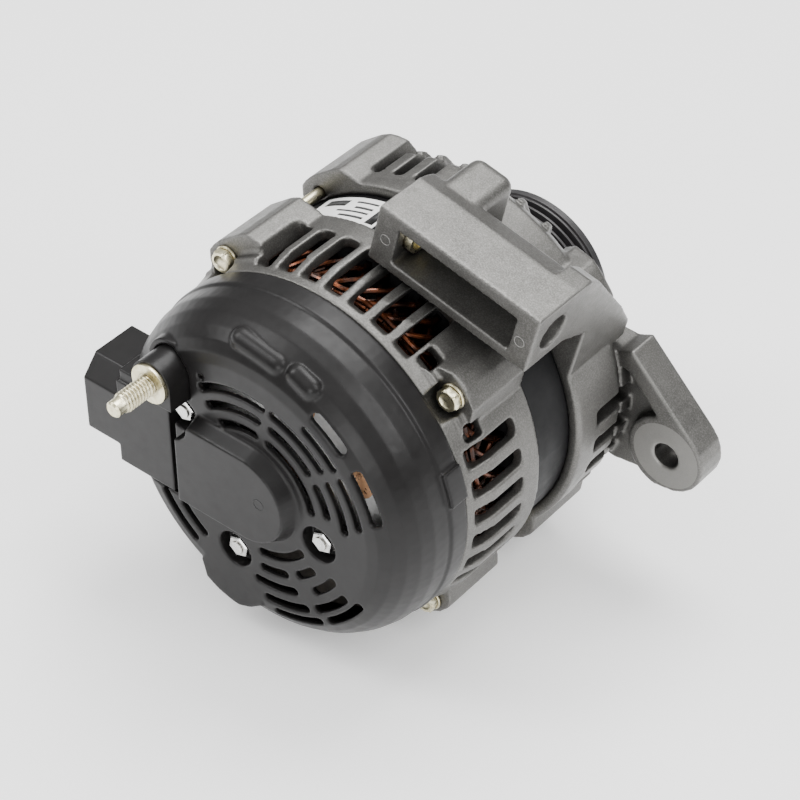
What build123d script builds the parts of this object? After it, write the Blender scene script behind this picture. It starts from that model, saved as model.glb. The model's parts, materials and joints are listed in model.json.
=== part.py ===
"""Car alternator: air-cooled, hairpin wound, with a multi-rib belt pulley.

Frame: the shaft lies on Y, +Y points to the pulley, +Z is up, and the origin is the
point where the shaft axis meets the middle plane of the belt. Sizes are millimetres.

A "station" is a distance forward from the flat rear face of the rear cover.
An angle is measured about the shaft from +X towards +Z.
"""
import math
import os

from build123d import *

# ---------------------------------------------------------------- driving sizes
BELT_STATION = 150.5          # rear cover face to the belt's middle plane

# fits and gaps
RUN_GAP = 0.03                # radial gap of ball bearings and other running fits
CLEAR = 0.4                   # gap between neighbours that don't touch
BRUSH_GAP = 0.05              # brush side play, and the gap to the slip ring

# through bolts
BOLT_CIRCLE_R = 72.0
BOLT_ANGLES = [130.0, 40.0, -50.0, -140.0]
BOLT_R = 2.25
BOLT_HEAD_AF = 8.0
BOLT_HEAD_LENGTH = 4.2
BOLT_FLANGE_R = 5.0
BOLT_FLANGE_THICK = 1.0
BOLT_SEAT = 42.0
BOLT_TIP = 112.0
BOLT_HEAD_ROOM_R = 6.6
LUG_TOP = 78.2                # outer flat of a bolt lug, from the shaft axis
LUG_HALF = 7.5                # half width of that flat
LUG_FOOT_HALF = 14.5          # half width where the lug meets the housing
LUG_FOOT_R = 69.5             # height of the lug's lower corners
LUG_SHELF = 9.0               # extra width of the first lug

# stator
CORE_R = 68.5
CORE_REAR = 64.0
CORE_FRONT = 98.0
CORE_BORE_R = 50.5
SLOT_COUNT = 48
SLOT_WIDTH = 3.0
SLOT_DEPTH = 11.0
TOOTH_TIP = 1.6               # iron between the bore and a slot
SLOT_MOUTH = 1.2
WINDING_REACH = 17.0
WINDING_WIRE = 2.2
WIRE_LAYERS = 4
SLOT_LINING = 0.3             # gap between the winding and the iron
CROWN_GAP = 1.5               # gap between the core face and the crown
CROWN_RING = 10.0             # depth of the crown's solid ring
LABEL_THICK = 0.3
LABEL_STATIONS = (73.0, 89.5)
LABEL_ANGLES = (95.5, 125.5)

# rotor
AIR_GAP = 0.5
ROTOR_R = CORE_BORE_R - AIR_GAP
POLE_PAIRS = 8
POLE_REAR = 53.0
POLE_FRONT = 109.0
POLE_DISC = 13.0
FAN_R = 46.5
REAR_FAN_DEPTH = 10.5
FRONT_FAN_DEPTH = 8.0
FAN_SHEET = 1.2
FAN_BLADES = 11
BLADE_ANGLE = 28.0
BLADE_PIVOT = 36.5            # radius about which a blade is swung
BLADE_OFFSET = 4.0
FAN_DISC_R = 34.0
SHAFT_R = 8.5
POLE_BORE_R = SHAFT_R + 0.5   # knurled seat of the claw poles
POLE_HUB_R = 19.0
COIL_R = 36.0                 # outside of the field coil and of the pole discs
FINGER_ROOT_HALF = 8.6
FINGER_TIP_HALF = 3.9
FINGER_SHORT = 4.5            # tip of a finger to the far pole face
SHAFT_TAIL_R = 5.0
SHAFT_TAIL_END = 19.0         # the rear bearing's seat starts here
SHAFT_SEAT_END = 36.0         # the claw poles' seat starts here
COLLAR_R = 13.2
SHAFT_START = -1.5
SHAFT_END = 164.6
THREAD_DROP = 0.7             # step down to the nut's thread

# slip rings
SLIP_RING_R = 7.2
SLIP_RING_CORE_R = 6.4
SLIP_RING_FLANGE_R = SLIP_RING_R - 0.2
SLIP_RING_WIDTH = 6.6
SLIP_RING_GAP = 0.3           # ring end to the flange beside it
SLIP_RING_STARTS = [0.3, 9.3]

# bearings
FRONT_BEARING_R = 23.5
FRONT_BEARING_START = 124.0
FRONT_BEARING_WIDTH = 14.0
REAR_BEARING_R = 17.5
REAR_BEARING_BORE_R = 7.5
REAR_BEARING_START = 22.0
REAR_BEARING_WIDTH = 11.0
BALL_COUNT = 8
BALL_SHARE = 0.29             # ball radius over the gap between bore and outside
RETAINER_R = 36.5
RETAINER_THICK = 2.0
SCREW_CIRCLE_R = 33.0
SCREW_R = 2.0
SCREW_HEAD_R = 3.6
SCREW_HEAD = 2.4
SCREW_ANGLES = [90.0, 210.0, 330.0]

# rear housing
REAR_HOUSING_START = 33.0
REAR_HOUSING_END = 70.8
REAR_HOUSING_R = 71.9
REAR_WALL = 4.6
REAR_FACE_END = 39.0          # front side of the rear housing's flat wall
REAR_HUB_R = REAR_BEARING_R + 4.3
REAR_HUB_LIP_R = 12.5
STUD_POST_R = 5.2
REAR_SLOT_START = 38.5
REAR_SLOT_END = 61.8
REAR_SLOT_WIDTH = 7.4
TOP_SLOT_ANGLES = [58.5 + 8.8 * i for i in range(7)]
RIGHT_SLOT_ANGLES = [21.4 - 10.0 * i for i in range(6)]
LOWER_SLOT_ANGLES = [-69.0 - 9.6 * i for i in range(6)]
LEFT_SLOT_ANGLES = [-159.0 - 9.6 * i for i in range(6)]

# front housing
FRONT_HOUSING_START = 91.8
BAND_R = 73.4
BAND_END = 118.0
SHOULDER_END = 136.0
SHOULDER_R = 46.0
FRONT_WALL = 4.4
HUB_R = 27.0
HUB_END = 139.0
HUB_LIP_R = 19.0
FRONT_SLOT_START = 103.0
FRONT_SLOT_END = 131.0
FRONT_SLOT_WIDTH = 7.0
EAR_SLOT_ANGLES = [2.9, -7.1, -17.1, -27.1]
LOWER_FRONT_SLOT_ANGLES = [-65.0 - 10.0 * i for i in range(7)]
LEFT_FRONT_SLOT_ANGLES = [-155.0 - 10.0 * i for i in range(7)]
TOP_SLOT_START = 121.0        # slots behind the mounting block start further forward
TOP_FRONT_SLOT_ANGLES = [55.5 + 10.2 * i for i in range(4)]
CREST_SLOT_ANGLES = [96.6, 104.4, 112.2]
CREST_SLOT_START = 101.0
CREST_SLOT_WIDTH = 4.8
FIN_WIDTH = 3.0

# mounting block: T runs along its length, N away from the shaft
BLOCK_TILT = 13.3
BLOCK_T = (-10.2, 59.2)
BLOCK_N = (73.6, 98.4)
BLOCK_START = 55.0
BLOCK_CREASE = 76.0           # front end of the flat top
BLOCK_END = 84.5
BLOCK_EDGE_N = 95.0           # height of the sloping strip at its front edge
HUMP_T = (-6.0, 12.0)
HUMP_TOP = 96.0
HUMP_START = 80.0
HUMP_END = 104.0
GUSSET_T = 49.0
POCKET_T = (-0.7, 50.6)
POCKET_N = (77.8, 93.2)
POCKET_DEPTH = 20.5
BLOCK_BORE_R = 6.7
BLOCK_BORE_N = 85.2
BLOCK_BORE_STATION = 66.8
BUSHING_BORE_R = 5.15
BUSHING_PROUD = 3.0           # length of the sleeve that stands in the pocket

# ear
EAR_X = 92.5
EAR_Z = -14.4
EAR_FACE = 119.8
EAR_END = 133.4
EAR_R = 15.6
EAR_FACE_R = 14.25
EAR_BORE_R = 5.2
EAR_WEB = 125.2
EAR_RIM = 6.0
EAR_CORNER = (74.8, 25.2)     # where the arm's upper flank turns in to the housing

# rear cover
COVER_WALL = 2.3
COVER_R = 69.35
COVER_RIM_REAR = 24.0
COVER_FLAT_R = 52.0
DOME_STEPS = 6                # facets of the cover's domed edge
PAD_HEIGHT = 6.0
BUMP_R = 4.4
VENT_WIDTH = 3.3
WINDOW_R = 56.8
WINDOW_WIDTH = 4.2
COVER_STUDS = [(37.4, 150.4), (35.5, -106.5), (30.9, -14.0)]
STUD_R = 2.5
NUT_AF = 8.0
NUT_FLANGE_R = 5.2
POCKET_FLOOR = 5.5
POCKET_R = 7.4                # recess around a cover nut
POCKET_WALL = 2.0

# output terminal
TERMINAL_X = -36.7
TERMINAL_Z = 36.2
TOWER_R = 8.7
TOWER_TOP = -9.2
WASHER_R = 7.8
WASHER_THICK = 1.4
OUTPUT_STUD_R = 4.0
OUTPUT_STUD_TIP = -28.2
STUD_DOG = 4.0                # length of the plain tip
STUD_SHANK_R = 4.6            # shank inside the insulator and washer
STUD_HEAD_R = 7.5

# connector at the left
CONN_X = (-81.5, -38.8)
CONN_Z = (-14.8, 16.6)
CONN_STEP_X = -65.6
CONN_STEP_Z = -22.7
CONN_DEPTH = 26.0
CONN_CHAMFER = 7.5
CONN_INNER_X = -62.0          # inboard side of the deep part
CONN_FLANGE = 6.0             # thickness of the shallow part
SOCKET_DEPTH = 15.0
SOCKET_STATIONS = (4.2, 22.0)
SOCKET_Z = (-10.6, 12.4)
PIN_PITCH = 6.4
PIN_MIDDLE_Z = 0.9

# pulley
PULLEY_START = 138.0
PULLEY_END = 165.7
PULLEY_R = 33.7
PULLEY_HUB_R = 13.5
RIB_COUNT = 6
RIB_PITCH = 3.56
RIB_DEPTH = 3.2
RIB_DROP = 0.9                # rib crests below the end lands
NUT_START = 155.0
NUT_LENGTH = 8.5

# rectifier
POSITIVE_DIODES = [(46.0, 108.0), (46.0, 70.0), (46.0, 28.0)]
NEGATIVE_DIODES = [(48.0, -38.0), (48.0, -75.0), (48.0, -128.0)]
DIODE_R = 6.4
POSITIVE_PLATE = (9.2, 12.2)
TERMINAL_BOARD = (18.6, 21.6)
NEGATIVE_PLATE = (24.6, 28.0)
DIODE_LEAD_R = 0.8
PLATE_INNER_R = 24.0

# brushes
BRUSH_STATIONS = [start + SLIP_RING_WIDTH / 2 for start in SLIP_RING_STARTS]
BRUSH_SIZE = 5.0
BRUSH_TIP_X = -(SLIP_RING_R + BRUSH_GAP)
BRUSH_LENGTH = 13.0
HOLDER_X = (-28.2, -9.5)
HOLDER_STATIONS = (-1.0, 17.2)
HOLDER_HALF = 7.0
SPRING_R = 1.7
SPRING_WIRE_R = 0.28
SPRING_TURNS = 5

OUT = "parts"


# ---------------------------------------------------------------- helpers
def at(station):
    """Station to Y."""
    return station - BELT_STATION


def polar(radius, angle):
    """Radius and angle to (x, z)."""
    return radius * math.cos(math.radians(angle)), radius * math.sin(math.radians(angle))


def turn(shape, angle):
    """Turn about the shaft, from +X towards +Z."""
    return Rot(0, -angle, 0) * shape


def rev(points):
    """Ring from (station, radius) points."""
    outline = Polyline(*[(radius, at(station)) for station, radius in points], close=True)
    return revolve(make_face(outline), axis=Axis.Y, revolution_arc=360)


def rod(radius, start, end, x=0.0, z=0.0):
    """Round bar along the shaft direction."""
    middle = (at(start) + at(end)) / 2
    return Pos(x, middle, z) * Rot(90, 0, 0) * Cylinder(radius, abs(end - start))


def tube(outer, inner, start, end, x=0.0, z=0.0):
    """Hollow bar along the shaft direction."""
    return rod(outer, start, end, x, z) - rod(inner, start - 1, end + 1, x, z)


def slab(points, start, end):
    """Prism with a cross-section in X and Z."""
    outline = Polyline(*[(x, at(start), z) for x, z in points], close=True)
    return extrude(make_face(outline), amount=end - start, dir=(0, 1, 0))


def box(xs, stations, zs):
    """Box from low and high limits."""
    size = (xs[1] - xs[0], stations[1] - stations[0], zs[1] - zs[0])
    centre = ((xs[0] + xs[1]) / 2, (at(stations[0]) + at(stations[1])) / 2, (zs[0] + zs[1]) / 2)
    return Pos(*centre) * Box(*size)


def hexagon(across_flats, start, end, x=0.0, z=0.0, angle=0.0):
    """Hexagonal bar along the shaft direction."""
    corner = across_flats / 2 / math.cos(math.radians(30))
    points = []
    for i in range(6):
        dx, dz = polar(corner, angle + 60 * i)
        points.append((x + dx, z + dz))
    return slab(points, start, end)


def spoke(width, radii, stations, angle=0.0, corner=0.0):
    """Radial block at an angle, with corners rounded along its length."""
    block = box(radii, stations, (-width / 2, width / 2))
    if corner:
        block = fillet(block.edges().filter_by(Axis.X), corner)
    return turn(block, angle)


def sector(radius, start_angle, end_angle, start, end):
    """Pie slice about the shaft."""
    steps = max(2, int(abs(end_angle - start_angle) / 15) + 1)
    points = [(0.0, 0.0)]
    for i in range(steps + 1):
        points.append(polar(radius, start_angle + (end_angle - start_angle) * i / steps))
    return slab(points, start, end)


def block_box(ts, ns, stations):
    """Box in the mounting block's tilted directions."""
    return turn(box(ts, stations, ns), -BLOCK_TILT)


def block_rod(radius, ts, normal, station):
    """Round bar along the mounting block's length."""
    bar = Pos((ts[0] + ts[1]) / 2, at(station), normal) * Rot(0, 90, 0) * Cylinder(radius, ts[1] - ts[0])
    return turn(bar, -BLOCK_TILT)


def arc_slot(radius, angles, width, start, end):
    """Curved slot cutter with round ends."""
    arc = CenterArc((0, 0), radius, angles[0], angles[1] - angles[0])
    face = Plane.XZ * SlotArc(arc=arc, height=width)
    return Pos(0, at(start), 0) * extrude(face, amount=end - start, dir=(0, 1, 0))


def biggest(shape):
    """The largest solid, for cuts that leave slivers."""
    return sorted(shape.solids(), key=lambda s: s.volume)[-1]


# ---------------------------------------------------------------- housings
def rear_housing():
    r = REAR_HOUSING_R
    body = rev([
        (REAR_HOUSING_START, REAR_HUB_R), (REAR_HOUSING_START, COVER_R), (34.2, COVER_R),
        (41.5, r - 0.9), (46.0, r), (REAR_HOUSING_END, r), (REAR_HOUSING_END, CORE_R),
        (CORE_REAR, CORE_R), (CORE_REAR, r - REAR_WALL), (44.0, r - REAR_WALL),
        (REAR_FACE_END, 62.0), (REAR_FACE_END, REAR_HUB_R),
    ])
    hub_start = REAR_BEARING_START - 1.5
    body += rev([(hub_start, REAR_HUB_LIP_R), (hub_start, REAR_HUB_R), (REAR_FACE_END, REAR_HUB_R),
                 (REAR_FACE_END, REAR_BEARING_R), (REAR_BEARING_START, REAR_BEARING_R),
                 (REAR_BEARING_START, REAR_HUB_LIP_R)])
    for angle in BOLT_ANGLES:
        body += rear_lug(angle)
    slots = []
    for angle in TOP_SLOT_ANGLES + RIGHT_SLOT_ANGLES + LOWER_SLOT_ANGLES + LEFT_SLOT_ANGLES:
        slots.append(spoke(REAR_SLOT_WIDTH, (58, 80), (REAR_SLOT_START + 1.5, REAR_SLOT_END), angle, 2.4))
        slots.append(turn(slot_ramp(), angle))
    for i in range(10):
        middle = 36 * i + 18
        slots.append(arc_slot(52.0, (middle - 8.5, middle + 8.5), 13.0, 30, 42))
        slots.append(arc_slot(34.0, (middle - 7.5, middle + 7.5), 9.0, 30, 42))
    body -= slots
    # small cast recesses beside the lug at the upper right
    body -= [spoke(6.5, (67.0, 80), (39.5, 47), 51.5, 1.2), spoke(6.5, (67.0, 80), (39.5, 47), 28.5, 1.2)]
    for angle in BOLT_ANGLES:
        x, z = polar(BOLT_CIRCLE_R, angle)
        body -= [rod(BOLT_R + CLEAR, 30, 80, x, z), rod(BOLT_HEAD_ROOM_R, 30, BOLT_SEAT, x, z)]
    for radius, angle in COVER_STUDS:
        x, z = polar(radius, angle)
        body += rod(STUD_POST_R, NEGATIVE_PLATE[1], REAR_FACE_END - 2, x, z)
        body -= rod(STUD_R, 20, 50, x, z)
    return body


def slot_ramp():
    """Wedge that makes the sloping floor between two ribs."""
    half = REAR_SLOT_WIDTH / 2
    outline = Polyline((80, at(35.4)), (70.4, at(35.4)), (64.6, at(43)), (80, at(43)), close=True)
    face = Pos(0, 0, -half) * make_face(outline)
    return extrude(face, amount=2 * half, dir=(0, 0, 1))


def lug_outline(wide, inner_r):
    """Bolt lug section at angle 0: a flat top on a wide foot; wide adds a shelf on one side."""
    shelf = LUG_SHELF if wide else 0.0
    return [(inner_r, -LUG_FOOT_HALF - shelf), (LUG_FOOT_R, -LUG_FOOT_HALF + 1 - shelf),
            (LUG_TOP - 1, -LUG_HALF - shelf), (LUG_TOP, -LUG_HALF + 4 - shelf),
            (LUG_TOP + 0.6, 0.0), (LUG_TOP, LUG_HALF - 3), (LUG_TOP - 1, LUG_HALF),
            (LUG_FOOT_R, LUG_FOOT_HALF - 1), (inner_r, LUG_FOOT_HALF)]


def rear_lug(angle):
    wide = angle == BOLT_ANGLES[0]
    lug = slab(lug_outline(wide, 60.0), BOLT_SEAT, REAR_HOUSING_END)
    foot = slab(lug_outline(wide, 60.0), BOLT_SEAT - 3.5, BOLT_SEAT) & rod(71.5, 30, 60)
    lug = turn(lug + foot, angle)
    return lug - rod(CORE_R, CORE_REAR, 90) - rod(REAR_HOUSING_R - REAR_WALL, 43, 90)


def front_cavity_line():
    """Inside of the front housing from the stator seat to the bearing boss."""
    wall = FRONT_WALL
    return [(CORE_FRONT, CORE_R), (CORE_FRONT, CORE_R - 2.5), (BAND_END - wall - 2, CORE_R - 2.5),
            (BAND_END - wall + 1.5, BAND_R - wall - 2.5), (SHOULDER_END - wall, SHOULDER_R - wall),
            (FRONT_BEARING_START, 38.0)]


def front_housing():
    bearing_end = FRONT_BEARING_START + FRONT_BEARING_WIDTH
    body = rev([
        (FRONT_HOUSING_START, CORE_R), (FRONT_HOUSING_START, BAND_R - 1.2),
        (FRONT_HOUSING_START + 1.2, BAND_R),
        (BAND_END - 2, BAND_R), (BAND_END + 1.5, BAND_R - 2.5),
        (SHOULDER_END - 1.5, SHOULDER_R + 1.0), (SHOULDER_END, SHOULDER_R - 2),
        (SHOULDER_END + 0.6, HUB_R + 5), (HUB_END - 1, HUB_R), (HUB_END, HUB_R - 1),
        (HUB_END, HUB_LIP_R), (bearing_end, HUB_LIP_R), (bearing_end, FRONT_BEARING_R),
        (FRONT_BEARING_START, FRONT_BEARING_R),
    ] + front_cavity_line()[::-1])
    cavity = rev([(80, 0), (80, CORE_R)] + front_cavity_line() + [(FRONT_BEARING_START, 0)])
    add = [front_lug(angle) for angle in BOLT_ANGLES]
    add += [mounting_block(), ear_body()]
    add += front_fins()
    body = biggest(body + add - cavity)
    body -= front_vents()
    body += ear_web()
    body = body - cavity
    body -= rod(EAR_BORE_R, 100, 150, EAR_X, EAR_Z)
    body -= block_rod(BLOCK_BORE_R, (-20, 70), BLOCK_BORE_N, BLOCK_BORE_STATION)
    for angle in BOLT_ANGLES:
        x, z = polar(BOLT_CIRCLE_R, angle)
        body -= rod(BOLT_R, 80, BOLT_TIP + 1, x, z)
    for angle in SCREW_ANGLES:
        x, z = polar(SCREW_CIRCLE_R, angle)
        body -= rod(SCREW_R, FRONT_BEARING_START - 5, FRONT_BEARING_START + 6, x, z)
    return biggest(body)


def front_lug(angle):
    wide = angle == BOLT_ANGLES[0]
    lug = slab(lug_outline(wide, 56.0), FRONT_HOUSING_START, 128)
    nose = rev([(80, 0), (80, 95), (116.5, 83), (122.5, 77.5), (126, 70), (127.5, 60), (127.5, 0)])
    return turn(lug, angle) & nose


def front_fins():
    """Ribs that stand on the sloping shoulder between the air slots."""
    points = [(68.5, BAND_END + 0.5), (BAND_R - 0.8, BAND_END + 1.5), (71.0, BAND_END + 4.5),
              (SHOULDER_R + 2.5, SHOULDER_END + 1.2), (SHOULDER_R - 1.5, SHOULDER_END - 0.5),
              (SHOULDER_R, SHOULDER_END - 4)]
    outline = Polyline(*[(radius, at(station)) for radius, station in points], close=True)
    fin = extrude(Pos(0, 0, -FIN_WIDTH / 2) * make_face(outline), amount=FIN_WIDTH, dir=(0, 0, 1))
    angles = []
    top = TOP_FRONT_SLOT_ANGLES + CREST_SLOT_ANGLES
    for group in (LOWER_FRONT_SLOT_ANGLES, LEFT_FRONT_SLOT_ANGLES, top):
        angles += [(low + high) / 2 for low, high in zip(group, group[1:])]
    return [turn(fin, angle) for angle in angles]


def mounting_block():
    block = block_box(BLOCK_T, BLOCK_N, (BLOCK_START, BLOCK_CREASE))
    web = block_prism([
        (BLOCK_CREASE, BLOCK_N[0]), (BLOCK_CREASE, BLOCK_N[1]), (BLOCK_END, BLOCK_EDGE_N), (89, 86),
        (94, 76), (99, 68), (FRONT_HOUSING_START, 66),
    ], BLOCK_T)
    gusset = block_prism([
        (BLOCK_CREASE, BLOCK_N[1]), (84, BLOCK_N[1] - 0.6), (91.4, 92), (100.4, 81), (115.8, 62.5),
        (126, 48), (126, 40), (FRONT_HOUSING_START, 40), (FRONT_HOUSING_START, 66),
        (BLOCK_CREASE, BLOCK_N[0]),
    ], (GUSSET_T, BLOCK_T[1]))
    hump = block_box(HUMP_T, (70, HUMP_TOP), (HUMP_START, HUMP_END))
    hump = fillet(hump.edges().filter_by(Axis.Y), 4.5)
    hump = fillet(hump.faces().sort_by(Axis.Y)[-1].edges().sort_by(Axis.Z)[3:], 4.0)
    block = block + [web, gusset, hump]
    block -= block_box(POCKET_T, POCKET_N, (BLOCK_START - 1, BLOCK_START + POCKET_DEPTH))
    return block


def block_prism(points, ts):
    """Prism along the mounting block's length from (station, normal) points."""
    outline = Polyline(*[(ts[0], at(station), normal) for station, normal in points], close=True)
    return turn(extrude(make_face(outline), amount=ts[1] - ts[0], dir=(1, 0, 0)), -BLOCK_TILT)


def ear_outline():
    """Ear arm outline: two straight flanks and a round end about the bore."""
    points = [(44.0, 30.0), (57.0, 29.0), (62.4, 22.6), (68.9, 22.4), EAR_CORNER]
    for i in range(9):
        dx, dz = polar(EAR_R, 45 - i * 17)
        points.append((EAR_X + dx, EAR_Z + dz))
    points.append((66.8, -33.2))
    points.append((44.0, -29.0))
    return points


def ear_body():
    """Solid arm of the ear."""
    return slab(ear_outline(), EAR_FACE, EAR_END)


def ear_web():
    """Boss standing in the recess that is cut behind it."""
    return tube(EAR_FACE_R, EAR_BORE_R, EAR_FACE, EAR_END, EAR_X, EAR_Z)


def ear_recess():
    """Hollow between the rim and the boss, open to the rear."""
    start, end = EAR_FACE - 1, EAR_WEB
    corner_x, corner_z = EAR_CORNER
    dx, dz = polar(EAR_R, 45)
    rim = slab([(corner_x - 14, corner_z + 2), (corner_x, corner_z), (EAR_X + dx, EAR_Z + dz),
                (EAR_X + dx - EAR_RIM, EAR_Z + dz - EAR_RIM), (corner_x - 1, corner_z - 1.6 * EAR_RIM),
                (corner_x - 14, corner_z - EAR_RIM)], start - 1, end + 1)
    hollow = slab(ear_outline(), start, end) - rim - rod(EAR_R + 1, start - 1, end + 1, EAR_X, EAR_Z)
    return hollow - rod(BAND_R - 1, start - 1, end + 1)


def front_vents():
    cuts = [ear_recess()]
    radii = (49, BAND_R + 2.1)
    for angle in EAR_SLOT_ANGLES:
        cuts.append(spoke(FRONT_SLOT_WIDTH, radii, (FRONT_SLOT_START, EAR_WEB), angle, 2.0))
        cuts.append(spoke(FRONT_SLOT_WIDTH, (49, 62), (FRONT_SLOT_START, FRONT_SLOT_END), angle, 2.0))
    for angle in LOWER_FRONT_SLOT_ANGLES + LEFT_FRONT_SLOT_ANGLES:
        cuts.append(spoke(FRONT_SLOT_WIDTH, radii, (FRONT_SLOT_START, FRONT_SLOT_END), angle, 2.0))
    for angle in TOP_FRONT_SLOT_ANGLES:
        cuts.append(spoke(FRONT_SLOT_WIDTH, radii, (TOP_SLOT_START, FRONT_SLOT_END), angle, 2.0))
    for angle in CREST_SLOT_ANGLES:
        cuts.append(spoke(CREST_SLOT_WIDTH, radii, (CREST_SLOT_START, FRONT_SLOT_END), angle, 2.0))
    return cuts


def through_bolt(angle):
    x, z = polar(BOLT_CIRCLE_R, angle)
    flange_start = BOLT_SEAT - BOLT_FLANGE_THICK
    bolt = rod(BOLT_R, flange_start, BOLT_TIP, x, z)
    head = hexagon(BOLT_HEAD_AF, BOLT_SEAT - BOLT_HEAD_LENGTH, flange_start + 0.1, x, z, angle)
    head = chamfer(head.faces().sort_by(Axis.Y)[0].edges(), 0.5)
    flange = rod(BOLT_FLANGE_R, flange_start, BOLT_SEAT, x, z)
    return bolt + [head, flange]


def mount_bushing():
    """Steel sleeve pressed in the far wall, standing into the pocket."""
    ts = (BLOCK_T[0], POCKET_T[0] + BUSHING_PROUD)
    sleeve = block_rod(BLOCK_BORE_R, ts, BLOCK_BORE_N, BLOCK_BORE_STATION)
    return sleeve - block_rod(BUSHING_BORE_R, (-30, 20), BLOCK_BORE_N, BLOCK_BORE_STATION)


# ---------------------------------------------------------------- stator
def stator_core():
    core = tube(CORE_R, CORE_BORE_R, CORE_REAR, CORE_FRONT)
    step = 360 / SLOT_COUNT
    slot_floor = CORE_BORE_R + TOOTH_TIP
    stations = (CORE_REAR - 1, CORE_FRONT + 1)
    cuts = []
    for i in range(SLOT_COUNT):
        cuts.append(spoke(SLOT_WIDTH, (slot_floor, slot_floor + SLOT_DEPTH), stations, step * i))
        cuts.append(spoke(SLOT_MOUTH, (CORE_BORE_R - 2, slot_floor + 1.4), stations, step * i))
    return core - cuts


def stator_winding():
    """Legs in the slots with a crown of bent ends on each side."""
    step = 360 / SLOT_COUNT
    inner = CORE_BORE_R + TOOTH_TIP + SLOT_LINING
    outer = inner + SLOT_DEPTH - 2 * SLOT_LINING
    leg_width = SLOT_WIDTH - 2 * SLOT_LINING
    layer = (outer - inner) / WIRE_LAYERS
    rear_end = (CORE_REAR - WINDING_REACH, CORE_REAR - CROWN_RING + 1)
    front_end = (CORE_FRONT + CROWN_RING - 1, CORE_FRONT + WINDING_REACH - 3)
    pieces = []
    for i in range(SLOT_COUNT):
        pieces.append(spoke(leg_width, (inner, outer), (CORE_REAR - 3, CORE_FRONT + 3), step * i))
        for row in range(WIRE_LAYERS):
            low = inner + row * layer + SLOT_LINING
            radii = (low, low + WINDING_WIRE)
            angle = step * (i + 0.25 * (row % 2))
            pieces.append(spoke(WINDING_WIRE, radii, rear_end, angle))
            pieces.append(spoke(WINDING_WIRE, radii, front_end, angle))
    winding = tube(outer, inner, CORE_REAR - CROWN_RING, CORE_REAR - CROWN_GAP)
    winding += tube(outer, inner, CORE_FRONT + CROWN_GAP, CORE_FRONT + CROWN_RING)
    return winding + pieces


def rating_label():
    start, end = LABEL_STATIONS
    band = tube(CORE_R + LABEL_THICK, CORE_R, start, end)
    return biggest(band & sector(90, *LABEL_ANGLES, start - 1, end + 1))


# ---------------------------------------------------------------- rotor
def shaft():
    body = rev([
        (SHAFT_START, 0), (SHAFT_START, SHAFT_TAIL_R), (SHAFT_TAIL_END, SHAFT_TAIL_R),
        (SHAFT_TAIL_END, REAR_BEARING_BORE_R), (SHAFT_SEAT_END, REAR_BEARING_BORE_R),
        (SHAFT_SEAT_END, POLE_BORE_R), (POLE_FRONT, POLE_BORE_R), (POLE_FRONT, SHAFT_R),
        (NUT_START - 3, SHAFT_R), (NUT_START - 3, SHAFT_R - THREAD_DROP),
        (SHAFT_END, SHAFT_R - THREAD_DROP), (SHAFT_END, 0),
    ])
    return body - hexagon(6.0, SHAFT_END - 9, SHAFT_END + 1)


def claw_pole(rear):
    """Disc with a hub and eight tapering fingers, built for the rear end."""
    middle = (POLE_REAR + POLE_FRONT) / 2
    disc_end = POLE_REAR + POLE_DISC
    tip = POLE_FRONT - FINGER_SHORT
    pole = rev([(POLE_REAR, POLE_BORE_R), (POLE_REAR, COIL_R), (disc_end, COIL_R),
                (disc_end, POLE_HUB_R), (middle, POLE_HUB_R), (middle, POLE_BORE_R)])
    widths = [(POLE_REAR, FINGER_ROOT_HALF), (disc_end, FINGER_ROOT_HALF), (tip, FINGER_TIP_HALF)]
    outline = [(half, at(station)) for station, half in widths]
    outline += [(-half, at(station)) for station, half in reversed(widths)]
    face = Pos(0, 0, 20) * make_face(Polyline(*outline, close=True))
    finger = extrude(face, amount=40, dir=(0, 0, 1))
    shell = rev([(POLE_REAR, 26), (POLE_REAR, ROTOR_R - 6), (POLE_REAR + 5, ROTOR_R), (tip, ROTOR_R),
                 (tip, ROTOR_R - 3.2), (disc_end, ROTOR_R - 11), (disc_end, 26)])
    finger = Rot(0, -90, 0) * biggest(finger & shell)
    for i in range(POLE_PAIRS):
        pole += turn(finger, 360 / POLE_PAIRS * i)
    if not rear:
        pole = Pos(0, 2 * at(middle), 0) * (Rot(180, 0, 0) * pole)
        pole = turn(pole, 180 / POLE_PAIRS)
    return pole


def field_coil():
    start = POLE_REAR + POLE_DISC + CLEAR
    end = POLE_FRONT - POLE_DISC - CLEAR
    return tube(COIL_R, POLE_HUB_R + CLEAR, start, end)


def fan(rear):
    """Stamped fan: disc and curved blades standing away from the claw pole."""
    start = POLE_REAR - FAN_SHEET if rear else POLE_FRONT
    end = start + FAN_SHEET
    stations = (start - REAR_FAN_DEPTH, end) if rear else (start, end + FRONT_FAN_DEPTH)
    disc = tube(FAN_DISC_R, POLE_BORE_R if rear else COLLAR_R, start, end)
    swing = Pos(BLADE_PIVOT, 0, BLADE_OFFSET) * Rot(0, BLADE_ANGLE, 0) * Pos(-BLADE_PIVOT, 0, 0)
    blade = swing * box((27.5, FAN_R - 0.8), stations, (-FAN_SHEET / 2, FAN_SHEET / 2))
    blades = []
    for i in range(FAN_BLADES):
        blades.append(spoke(9.0, (FAN_DISC_R - 6, FAN_R), (start, end), 360 / FAN_BLADES * i))
        blades.append(turn(blade, 360 / FAN_BLADES * i))
    return (disc + blades) & rod(FAN_R + 0.4, start - 20, end + 20)


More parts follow.
